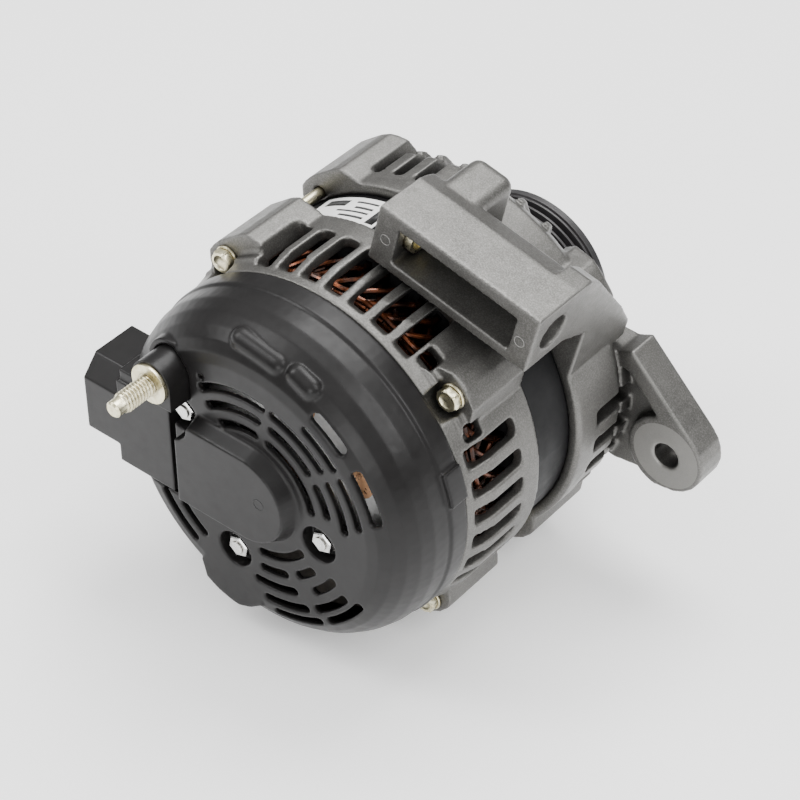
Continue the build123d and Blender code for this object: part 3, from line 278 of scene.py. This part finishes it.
def black_lamination():
    s = Surface("black_lamination", IOR=1.5, Specular_IOR_Level=0.14)
    _, y, _ = s.axes()
    sheets = s.math("SINE", s.math("MULTIPLY", y, 2 * math.pi / (0.5 * MM)))
    tint = s.ramp(s.noise(70, 5, 0.6), [(0.3, (0.006, 0.006, 0.0065)), (0.7, (0.0105, 0.0105, 0.011))])
    scuff = s.ramp(s.noise(26, 6, 0.7, stretch=(1, 7, 1)), [(0.62, 0.0), (0.80, 0.5)])
    tint = s.mix(scuff, tint, (0.028, 0.027, 0.026))
    rough = s.ramp(s.noise(150, 4, 0.6), [(0.3, 0.42), (0.7, 0.56)])
    s.bumps((sheets, 0.12, 0.04 * MM), (s.noise(900, 3, 0.5), 0.2, 0.03 * MM))
    return s.finish(tint, rough)


def copper_enamel():
    s = Surface("copper_enamel", Metallic=0.85, Coat_Weight=0.3, Coat_Roughness=0.15)
    tint = s.ramp(s.noise(180, 4, 0.6), [(0.42, (0.035, 0.012, 0.006)), (0.78, (0.34, 0.09, 0.028))])
    # painted shade: the copper is darkened almost to black between strands and in hollows, where shade falls
    tint = s.mix(s.hollow(5 * MM, 0.35, 1.0), (0.012, 0.006, 0.004), tint)
    s.bumps((s.noise(700, 2, 0.5), 0.2, 0.05 * MM), rounding=0.3 * MM)
    return s.finish(tint, s.ramp(s.noise(400, 3, 0.5), [(0.3, 0.22), (0.7, 0.38)]))


def black_coated():
    s = Surface("black_coated", IOR=1.5, Coat_Weight=0.35, Coat_Roughness=0.2)
    tint = s.ramp(s.noise(90, 4, 0.6), [(0.3, (0.012, 0.011, 0.012)), (0.7, (0.024, 0.022, 0.023))])
    # painted highlight: lighter along the rims and edges
    tint = s.mix(s.math("MULTIPLY", s.edge(0.4 * MM), 0.3), tint, (0.16, 0.15, 0.15))
    turned = s.math("SINE", s.math("MULTIPLY", s.radius_from(0, 0), 2 * math.pi / (0.35 * MM)))
    s.bumps((turned, 0.10, 0.02 * MM), (s.noise(1500, 2, 0.5), 0.15, 0.02 * MM), rounding=0.35 * MM)
    return s.finish(tint, s.ramp(s.noise(300, 3, 0.5), [(0.3, 0.26), (0.7, 0.40)]))


def label_film():
    s = Surface("label_film", IOR=1.46)
    tint = s.ramp(s.noise(60, 4, 0.6), [(0.3, (0.74, 0.74, 0.72)), (0.7, (0.84, 0.84, 0.83))])
    s.bumps((s.noise(300, 2, 0.5), 0.08, 0.05 * MM))
    return s.finish(tint, s.ramp(s.noise(200, 3, 0.5), [(0.3, 0.34), (0.7, 0.46)]))


def simple(name, low, high, rough, metal=0.0, scale=300, coat=0.0):
    s = Surface(name, Metallic=metal, Coat_Weight=coat)
    tint = s.ramp(s.noise(scale, 4, 0.6), [(0.3, low), (0.7, high)])
    s.bumps((s.noise(1400, 3, 0.55), 0.2, 0.03 * MM), rounding=0.2 * MM)
    return s.finish(tint, s.ramp(s.noise(500, 3, 0.5), [(0.3, rough - 0.07), (0.7, rough + 0.07)]))


MATERIALS = {
    "cast_aluminium": cast_aluminium(),
    "black_lamination": black_lamination(),
    "copper": copper_enamel(),
    "zinc_steel": plated("zinc_yellow", (0.62, 0.56, 0.36), (0.86, 0.82, 0.62), 0.24, 0.40),
    "black_plastic": black_plastic(),
    "steel": plated("bright_steel", (0.55, 0.55, 0.54), (0.78, 0.78, 0.76), 0.20, 0.36),
    "dark_iron": simple("dark_iron", (0.10, 0.095, 0.09), (0.19, 0.18, 0.17), 0.45, 0.8),
    "coil_varnish": simple("coil_varnish", (0.20, 0.06, 0.02), (0.38, 0.13, 0.05), 0.3, 0.3, coat=0.5),
    "black_pulley": black_coated(),
    "label_paper": label_film(),
    "heat_sink": simple("heat_sink", (0.55, 0.55, 0.54), (0.72, 0.72, 0.71), 0.4, 0.9),
    "diode_case": simple("diode_case", (0.50, 0.26, 0.14), (0.70, 0.40, 0.22), 0.3, 0.95),
    "inner_plastic": simple("inner_plastic", (0.05, 0.045, 0.04), (0.09, 0.08, 0.07), 0.5),
    "slip_ring_copper": simple("slip_ring_copper", (0.60, 0.28, 0.15), (0.80, 0.42, 0.25), 0.18, 1.0),
    "contact_brass": simple("contact_brass", (0.66, 0.60, 0.42), (0.82, 0.76, 0.58), 0.25, 1.0),
    "label_ink": simple("label_ink", (0.03, 0.03, 0.03), (0.07, 0.07, 0.07), 0.5),
    "carbon": simple("carbon", (0.035, 0.035, 0.035), (0.07, 0.07, 0.07), 0.6),
}

SMOOTH_ANGLE = math.radians(32)
for entry in frame["record"]["subparts"]:
    node = nodes[entry["node"]]
    node.data.materials.clear()
    node.data.materials.append(MATERIALS[entry["material_slot"]])
    node.data.shade_smooth()
    node.data.set_sharp_from_angle(angle=SMOOTH_ANGLE)


# ------------------------------------------------------------------ helpers for pieces
def place(name, built, material, body="housing"):
    """Turn a bmesh into a piece that rides a body."""
    mesh = bpy.data.meshes.new(name)
    built.to_mesh(mesh)
    built.free()
    made = bpy.data.objects.new(name, mesh)
    bpy.context.scene.collection.objects.link(made)
    mesh.materials.append(material)
    mesh.shade_smooth()
    mesh.set_sharp_from_angle(angle=SMOOTH_ANGLE)
    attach(made, body)
    return made


def lathe(built, x, z, profile, outline=None, segments=48):
    """Closed skin from (y, radius) points about an axis along Y; outline(angle) scales a radius."""
    rings = []
    for y, radius in profile:
        ring = []
        for i in range(segments):
            angle = 2 * math.pi * i / segments
            r = outline(angle, y, radius) if outline else radius
            ring.append(built.verts.new((x + r * math.cos(angle), y, z + r * math.sin(angle))))
        rings.append(ring)
    for low, high in zip(rings, rings[1:]):
        for i in range(segments):
            j = (i + 1) % segments
            built.faces.new((low[i], low[j], high[j], high[i]))
    built.faces.new(rings[0])
    built.faces.new(rings[-1])


def middle(name):
    low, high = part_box(name)
    return (low + high) / 2


# ------------------------------------------------------------------ output stud with its thread
PITCH = 1.4 * MM
CREST_R = 3.97 * MM
ROOT_R = 3.3 * MM
DOG_R = 3.15 * MM
DOG_LENGTH = 4.0 * MM
SHANK_R = 4.55 * MM
STUD_HEAD_R = 7.4 * MM
STUD_HEAD = 4.0 * MM
THREAD_STEP = 0.14 * MM


def output_stud():
    """Threaded stud with a plain dog point, standing in for the smooth one."""
    low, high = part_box("output_stud")
    centre = middle("terminal_washer")
    washer_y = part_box("terminal_washer")[0].y
    thread_start = low.y + DOG_LENGTH
    thread_end = washer_y - 0.4 * MM
    built = bmesh.new()

    def thread(angle, y, radius):
        if radius != CREST_R:
            return radius
        wave = ((y - thread_start) / PITCH - angle / (2 * math.pi)) % 1.0
        tooth = 1 - abs(2 * wave - 1)
        ends = min(1.0, (y - thread_start) / PITCH, (thread_end - y) / (0.5 * PITCH))
        return ROOT_R + (CREST_R - ROOT_R) * min(1.0, 1.25 * tooth) * max(0.0, ends)

    profile = [(low.y, 0.4 * MM), (low.y, DOG_R - 0.7 * MM), (low.y + 0.7 * MM, DOG_R),
               (thread_start - 0.5 * MM, DOG_R), (thread_start, ROOT_R)]
    steps = int((thread_end - thread_start) / THREAD_STEP)
    profile += [(thread_start + (thread_end - thread_start) * i / steps, CREST_R) for i in range(1, steps)]
    profile += [(thread_end, ROOT_R), (washer_y - 0.05 * MM, ROOT_R + 0.2 * MM), (washer_y, SHANK_R),
                (high.y - STUD_HEAD, SHANK_R), (high.y - STUD_HEAD, STUD_HEAD_R), (high.y, STUD_HEAD_R)]
    lathe(built, centre.x, centre.z, profile, thread, 64)
    made = place("threaded_stud", built, MATERIALS["zinc_steel"])
    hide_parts("output_stud")


# ------------------------------------------------------------------ through bolts
BOLT_ANGLES = (130.0, 40.0, -50.0, -140.0)
HEAD_AF = 8.0 * MM
HEAD_LENGTH = 4.2 * MM
DISH_R = 2.7 * MM


def hexagonal(across_flats, turn):
    """Outline of a hexagon with the corners cut by a chamfer cone."""
    def outline(angle, y, radius):
        offset = (angle - turn) % (math.pi / 3) - math.pi / 6
        return min(radius, across_flats / 2 / math.cos(offset))
    return outline


def bolt_head(built, centre, face, flange_y, turn):
    """Hexagon head with a round dish in its end."""
    corner = HEAD_AF / 2 / math.cos(math.pi / 6)
    face += 0.02 * MM
    profile = [(face + 0.8 * MM, 0.3 * MM), (face + 0.8 * MM, DISH_R - 0.9 * MM),
               (face + 0.25 * MM, DISH_R), (face, DISH_R + 0.25 * MM), (face, HEAD_AF / 2 - 0.1 * MM),
               (face + 0.55 * MM, corner), (flange_y - 0.15 * MM, corner)]
    lathe(built, centre.x, centre.z, profile, hexagonal(HEAD_AF, turn), 72)


def through_bolts():
    for i, angle in enumerate(BOLT_ANGLES, 1):
        node = f"through_bolt_{i}"
        low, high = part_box(node)
        centre = middle(node)
        seat = low.y + HEAD_LENGTH
        flange = seat - 1.0 * MM
        built = bmesh.new()
        bolt_head(built, centre, low.y, flange, math.radians(angle))
        flange_and_shank = [(flange, 3.0 * MM), (flange, 4.6 * MM), (flange + 0.25 * MM, 4.95 * MM),
                            (seat - 0.1 * MM, 5.0 * MM), (seat, 4.9 * MM), (seat, 2.2 * MM),
                            (high.y - 0.6 * MM, 2.2 * MM), (high.y, 1.7 * MM)]
        lathe(built, centre.x, centre.z, flange_and_shank)
        made = place(f"bolt_skin_{i}", built, MATERIALS["zinc_steel"])
        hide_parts(node)


# ------------------------------------------------------------------ hairpin winding
def strand(built, points, half):
    """Eight-sided bar through the points."""
    rings = []
    for i, point in enumerate(points):
        along = (points[min(i + 1, len(points) - 1)] - points[max(i - 1, 0)]).normalized()
        outward = Vector((point.x, 0, point.z)).normalized()
        side = along.cross(outward).normalized()
        ring = []
        for k in range(8):
            a = 2 * math.pi * (k + 0.5) / 8
            spread = side * math.cos(a) + outward * math.sin(a)
            ring.append(built.verts.new(point + spread * half * 1.1))
        rings.append(ring)
    for low, high in zip(rings, rings[1:]):
        for k in range(8):
            j = (k + 1) % 8
            built.faces.new((low[k], low[j], high[j], high[k]))
    built.faces.new(rings[0])
    built.faces.new(rings[-1])


def around(radius, degrees, y):
    a = math.radians(degrees)
    return Vector((radius * math.cos(a), y, radius * math.sin(a)))


def winding():
    """Legs through the slots and a woven crown of crossing strands at each end."""
    core_low, core_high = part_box("stator_core")
    low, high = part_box("stator_winding")
    built = bmesh.new()
    slots = 48
    radii = [53.9 * MM, 56.5 * MM, 59.2 * MM, 61.6 * MM]
    for crown_end, core_face in ((low.y + 1.2 * MM, core_low.y), (high.y - 1.2 * MM, core_high.y)):
        out = 1 if crown_end > core_face else -1
        reach = abs(crown_end - core_face)
        for i in range(slots):
            for layer, radius in enumerate(radii):
                lean = 1 if layer % 2 else -1
                start = 360 / slots * i
                points = []
                for k in range(13):
                    part = k / 12
                    rise = math.sin(math.pi / 2 * min(1.0, part * 1.35)) if part < 0.74 else 1.0
                    swing = 21.0 * max(0.0, part - 0.08)
                    bend = 0.5 * MM * math.sin(2 * math.pi * part)
                    turn_y = core_face + out * reach * rise
                    points.append(around(radius + bend, start + lean * swing, turn_y))
                strand(built, [around(radius, start, core_face - out * 2.0 * MM)] + points, 1.0 * MM)
    for i in range(slots):
        for radius in radii:
            line = [around(radius, 360 / slots * i, core_low.y - 0.5 * MM),
                    around(radius, 360 / slots * i, core_high.y + 0.5 * MM)]
            strand(built, line, 1.0 * MM)
    made = place("hairpins", built, MATERIALS["copper"])
    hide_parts("stator_winding")


# ------------------------------------------------------------------ label bars and casting marks
def label_print():
    """Plain grey bars and a dark patch, in place of the label's print."""
    low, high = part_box("rating_label")
    radius = 68.84 * MM
    built = bmesh.new()
    bars = [(96.5, 99.5, 75.0, 87.5), (101.5, 111.0, 76.2, 77.4), (101.5, 114.0, 79.4, 80.4),
            (101.5, 108.5, 82.2, 83.4), (113.0, 122.0, 83.0, 87.0), (101.5, 110.0, 85.8, 86.8)]
    rear = low.y - 73.0 * MM
    for start, end, first, last in bars:
        steps = max(2, int((end - start) / 1.5))
        rows = []
        for i in range(steps + 1):
            angle = start + (end - start) * i / steps
            rows.append([built.verts.new(around(radius, angle, rear + first * MM)),
                         built.verts.new(around(radius, angle, rear + last * MM))])
        for left, right in zip(rows, rows[1:]):
            built.faces.new((left[0], left[1], right[1], right[0]))
    made = place("label_bars", built, MATERIALS["label_ink"])
    solid = made.modifiers.new("ink", "SOLIDIFY")
    solid.thickness = 0.05 * MM
    solid.offset = 1.0


def mould_rings():
    """Faint rings left by the mould's ejector pins on the block's rear face, and one on the cover's pad."""
    marks = [("pin_mark_1", EJECTOR_1, BLOCK_FACE_Y, 2.0, "cast_aluminium"),
             ("pin_mark_2", EJECTOR_2, BLOCK_FACE_Y, 2.0, "cast_aluminium"),
             ("pad_mark", PAD_MARK, COVER_FACE_Y - 6.0 * MM, 2.2, "black_plastic")]
    for name, (x, z), face_y, radius, material in marks:
        built = bmesh.new()
        inner, outer = (radius - 0.22) * MM, (radius + 0.22) * MM
        rows = []
        for i in range(40):
            a = 2 * math.pi * i / 40
            row = []
            rim_path = ((inner, -0.05), (inner + 0.12 * MM, 0.07), (outer - 0.12 * MM, 0.07), (outer, -0.05))
            for r, rise in rim_path:
                row.append(built.verts.new((x + r * math.cos(a), face_y - rise * MM, z + r * math.sin(a))))
            rows.append(row)
        for i, row in enumerate(rows):
            after = rows[(i + 1) % len(rows)]
            for k in range(4):
                j = (k + 1) % 4
                built.faces.new((row[k], row[j], after[j], after[k]))
        place(name, built, MATERIALS[material])


# ------------------------------------------------------------------ brush springs
def brush_springs():
    """Coils of wire standing in for the brush springs, each filling its spring's box."""
    wire, turns, steps = 0.27 * MM, 5, 24
    for i in (1, 2):
        node = f"brush_spring_{i}"
        low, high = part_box(node)
        centre = middle(node)
        radius = (high.z - low.z) / 2 - wire
        start, end = low.x + wire, high.x - wire
        built = bmesh.new()
        path = []
        for k in range(turns * steps + 1):
            a = 2 * math.pi * k / steps
            x = start + (end - start) * k / (turns * steps)
            path.append(Vector((x, centre.y + radius * math.cos(a), centre.z + radius * math.sin(a))))
        rings = []
        for k, point in enumerate(path):
            outward = Vector((0, point.y - centre.y, point.z - centre.z)).normalized()
            side = Vector((1, 0, 0))
            rings.append([built.verts.new(point + wire * (side * math.cos(b) + outward * math.sin(b)))
                          for b in (math.pi * n / 4 for n in range(8))])
        for before, after in zip(rings, rings[1:]):
            for n in range(8):
                m = (n + 1) % 8
                built.faces.new((before[n], before[m], after[m], after[n]))
        built.faces.new(rings[0])
        built.faces.new(rings[-1])
        made = place(f"coil_{i}", built, MATERIALS["steel"])
        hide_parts(node)
        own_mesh(made)


output_stud()
through_bolts()
brush_springs()
winding()
label_print()
mould_rings()


# ------------------------------------------------------------------ cast fillets
def soften(name, voxel, rounds):
    """Round a casting's edges and corners as a mould leaves them."""
    node = nodes[name]
    remesh = node.modifiers.new("skin", "REMESH")
    remesh.mode = "VOXEL"
    remesh.voxel_size = voxel
    remesh.use_smooth_shade = True
    relax = node.modifiers.new("fillets", "SMOOTH")
    relax.factor = 0.5
    relax.iterations = rounds


soften("front_housing", 0.62 * MM, 5)
soften("rear_housing", 0.62 * MM, 6)
soften("connector_housing", 0.4 * MM, 4)
soften("rear_cover", 0.48 * MM, 4)


# ------------------------------------------------------------------ floor, light and camera
def floor():
    low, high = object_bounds()
    mesh = bpy.data.meshes.new("floor")
    half = 4.0
    corners = [(-half, -half, 0), (half, -half, 0), (half, half, 0), (-half, half, 0)]
    mesh.from_pydata(corners, [], [(0, 1, 2, 3)])
    made = bpy.data.objects.new("floor", mesh)
    made.location = (0, 0, low.z - 0.5 * MM)
    bpy.context.scene.collection.objects.link(made)
    s = Surface("floor_paper", Emission_Color=(1, 1, 1, 1), Emission_Strength=0.22)
    tint = s.ramp(s.noise(3, 3, 0.5), [(0.3, (0.93, 0.93, 0.93)), (0.7, (0.95, 0.95, 0.95))])
    made.data.materials.append(s.finish(tint, s.ramp(s.noise(40, 3, 0.5), [(0.3, 0.85), (0.7, 0.95)])))
    made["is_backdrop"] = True


def area_light(name, azimuth, elevation, distance, size, power):
    light = bpy.data.lights.new(name, "AREA")
    light.shape = "RECTANGLE"
    light.size, light.size_y = size
    light.energy = power
    made = bpy.data.objects.new(name, light)
    a, e = math.radians(azimuth), math.radians(elevation)
    out = Vector((math.sin(a) * math.cos(e), -math.cos(a) * math.cos(e), math.sin(e)))
    made.location = Vector((0, -0.08, 0.0)) + out * distance
    made.rotation_mode = "QUATERNION"
    made.rotation_quaternion = out.to_track_quat("Z", "Y")
    bpy.context.scene.collection.objects.link(made)


def camera():
    data = bpy.data.cameras.new("camera")
    data.lens = LENS
    data.sensor_width = 36
    made = bpy.data.objects.new("camera", data)
    a, e = math.radians(VIEW_AZIMUTH), math.radians(VIEW_ELEVATION)
    back = Vector((math.sin(a) * math.cos(e), -math.cos(a) * math.cos(e), math.sin(e)))
    made.location = VIEW_TARGET + back * VIEW_DISTANCE
    made.rotation_mode = "QUATERNION"
    made.rotation_quaternion = (-back).to_track_quat("-Z", "Y")
    bpy.context.scene.collection.objects.link(made)
    bpy.context.scene.camera = made


def world():
    made = bpy.data.worlds.new("studio")
    made.use_nodes = True
    links = made.node_tree.links
    background = made.node_tree.nodes["Background"]
    coords = made.node_tree.nodes.new("ShaderNodeTexCoord")
    split = made.node_tree.nodes.new("ShaderNodeSeparateXYZ")
    dome = made.node_tree.nodes.new("ShaderNodeValToRGB")
    for element, (height, glow) in zip(dome.color_ramp.elements, ((0.05, 0.10), (0.95, 1.0))):
        element.position = height
        element.color = (glow, glow, glow, 1)
    links.new(coords.outputs["Generated"], split.inputs["Vector"])
    links.new(split.outputs["Z"], dome.inputs["Fac"])
    links.new(dome.outputs["Color"], background.inputs["Color"])
    background.inputs["Strength"].default_value = SKY_STRENGTH
    bpy.context.scene.world = made


floor()
area_light("key", 185, 66, 1.2, (0.9, 0.6), 17)
area_light("side", 95, 42, 1.2, (0.35, 0.9), 8)
area_light("left", -50, 44, 1.2, (0.35, 0.8), 9)
area_light("front", 30, 18, 1.3, (0.7, 0.5), 7)
camera()
world()
